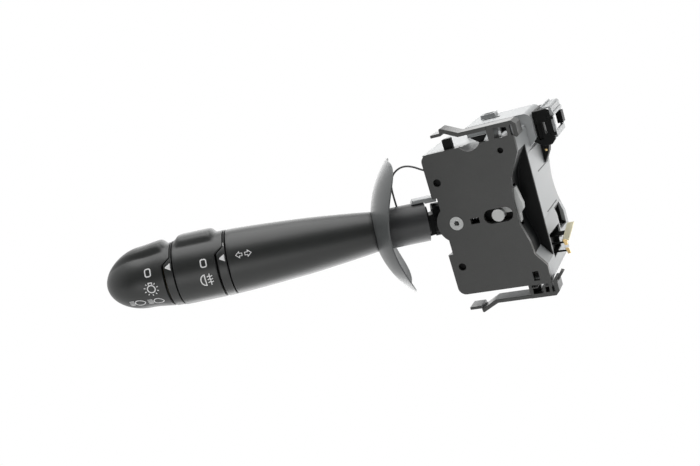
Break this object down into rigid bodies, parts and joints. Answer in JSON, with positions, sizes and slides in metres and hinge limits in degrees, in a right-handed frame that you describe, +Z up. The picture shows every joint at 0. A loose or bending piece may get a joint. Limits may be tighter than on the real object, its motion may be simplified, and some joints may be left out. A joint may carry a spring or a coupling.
{
  "type": "combination stalk switch",
  "caption": "Steering column stalk switch: tapered stalk with rotary light knob and fog ring on a gimbal cradle in a box housing with snap arms, cancel finger, plug socket and blade contacts",
  "frame": {"origin": "on the turn pivot's axis, in the housing's flat back face", "axes": "+X right along the cover, towards the steering column; +Y out of the back face, away from the driver; +Z up. The stalk points to -X, towards the driver and slightly up."},
  "size_m": [0.2265, 0.1223, 0.0975],
  "materials": {
    "housing_dark": "dark grey moulded housing plastic, fine grain",
    "housing_black": "black moulded plastic",
    "housing_light": "light grey moulded housing plastic",
    "white_pom": "natural white acetal bearing plastic",
    "stalk_black": "black fine-grained stalk plastic, semi gloss",
    "shaft_grey": "dark grey glass-filled plastic",
    "board_laminate": "brown contact board laminate",
    "brass_contact": "punched brass contact strip",
    "spring_steel": "plain steel wire and pin stock",
    "lead_black": "black lead insulation"
  },
  "bodies": {
    "case": {"front_cover": "housing_dark", "cover_pins": "housing_black", "rear_carrier": "housing_light", "saddle_liner": "housing_black", "arm_stops": "housing_black", "detent_cam": "white_pom", "contact_board": "board_laminate", "board_tracks": "brass_contact", "beam_board": "board_laminate", "beam_tracks": "brass_contact", "blade_block": "housing_black", "terminal_blades": "brass_contact", "plug_socket": "housing_black", "socket_contacts": "brass_contact", "column_bracket": "housing_black", "snap_frame": "housing_light", "loop_clip": "housing_black", "strap_blade": "brass_contact", "finger_spring": "spring_steel", "lead_wire": "lead_black"},
    "cradle": {"gimbal_cradle": "white_pom", "cross_pin": "spring_steel"},
    "stalk": {"stalk_root": "shaft_grey", "stalk_shaft": "shaft_grey", "shaft_key": "housing_light", "collar_shield": "stalk_black", "stalk_body": "stalk_black", "core_tube": "shaft_grey", "inner_fixed_ring": "stalk_black", "outer_fixed_ring": "stalk_black", "fog_contact_disc": "board_laminate", "light_contact_disc": "board_laminate", "fog_clip": "spring_steel", "light_clip": "spring_steel", "plunger_spring": "spring_steel"},
    "plunger": {"detent_plunger": "white_pom"},
    "fog_ring": {"fog_ring": "stalk_black", "fog_wiper": "brass_contact"},
    "light_knob": {"light_knob": "stalk_black", "light_wiper": "brass_contact"},
    "cancel_finger": {"cancel_finger": "white_pom", "finger_carriage": "housing_black"},
    "turn_slider": {"turn_slider": "white_pom", "turn_bridge": "brass_contact"},
    "beam_slider": {"beam_slider": "white_pom", "beam_bridge": "brass_contact"},
    "top_arm": {"top_latch_arm": "housing_dark"},
    "bottom_arm": {"bottom_latch_arm": "housing_dark"}
  },
  "joints": [
    {"name": "stalk_turn", "type": "hinge", "parent": "case", "child": "cradle", "pos_m": [0, -0.032, 0], "axis": [0, 1, 0], "range_deg": [-12, 12], "deforming": ["lead_wire"]},
    {"name": "stalk_pull", "type": "hinge", "parent": "cradle", "child": "stalk", "pos_m": [0, -0.032, 0], "axis": [0, 0, 1], "range_deg": [0, 8], "stiffness_Nm_per_rad": 2, "springref_deg": -8.02, "deforming": ["lead_wire"]},
    {"name": "plunger_slide", "type": "slide", "parent": "stalk", "child": "plunger", "axis": [0.8988, 0.4384, 0], "range_m": [-0.001, 0], "stiffness_N_per_m": 800, "springref_m": 0.001, "deforming": ["plunger_spring"]},
    {"name": "fog_turn", "type": "hinge", "parent": "stalk", "child": "fog_ring", "pos_m": [0, -0.032, 0], "axis": [-0.8947, -0.4364, 0.0958], "range_deg": [0, 30]},
    {"name": "light_turn", "type": "hinge", "parent": "stalk", "child": "light_knob", "pos_m": [0, -0.032, 0], "axis": [-0.8947, -0.4364, 0.0958], "range_deg": [0, 60]},
    {"name": "finger_slide", "type": "slide", "parent": "case", "child": "cancel_finger", "axis": [1, 0, 0], "range_m": [-0.004, 0.004], "stiffness_N_per_m": 300, "deforming": ["finger_spring"]},
    {"name": "turn_slide", "type": "slide", "parent": "case", "child": "turn_slider", "axis": [1, 0, 0], "range_m": [-0.0032, 0.0032]},
    {"name": "beam_slide", "type": "slide", "parent": "case", "child": "beam_slider", "axis": [0, 1, 0], "range_m": [0, 0.00122]},
    {"name": "top_latch", "type": "hinge", "parent": "case", "child": "top_arm", "pos_m": [0.0266, -0.0456, 0.0433], "axis": [0, -1, 0], "range_deg": [0, 4], "stiffness_Nm_per_rad": 1.5, "springref_deg": -2.86},
    {"name": "bottom_latch", "type": "hinge", "parent": "case", "child": "bottom_arm", "pos_m": [0.0266, -0.0456, -0.044], "axis": [0, 1, 0], "range_deg": [0, 4], "stiffness_Nm_per_rad": 1.5, "springref_deg": -2.86}
  ],
  "couplings": [
    {"joint": "turn_slide", "follows": "stalk_turn", "m_per_rad": -0.015},
    {"joint": "beam_slide", "follows": "stalk_pull", "m_per_rad": 0.00867}
  ]
}
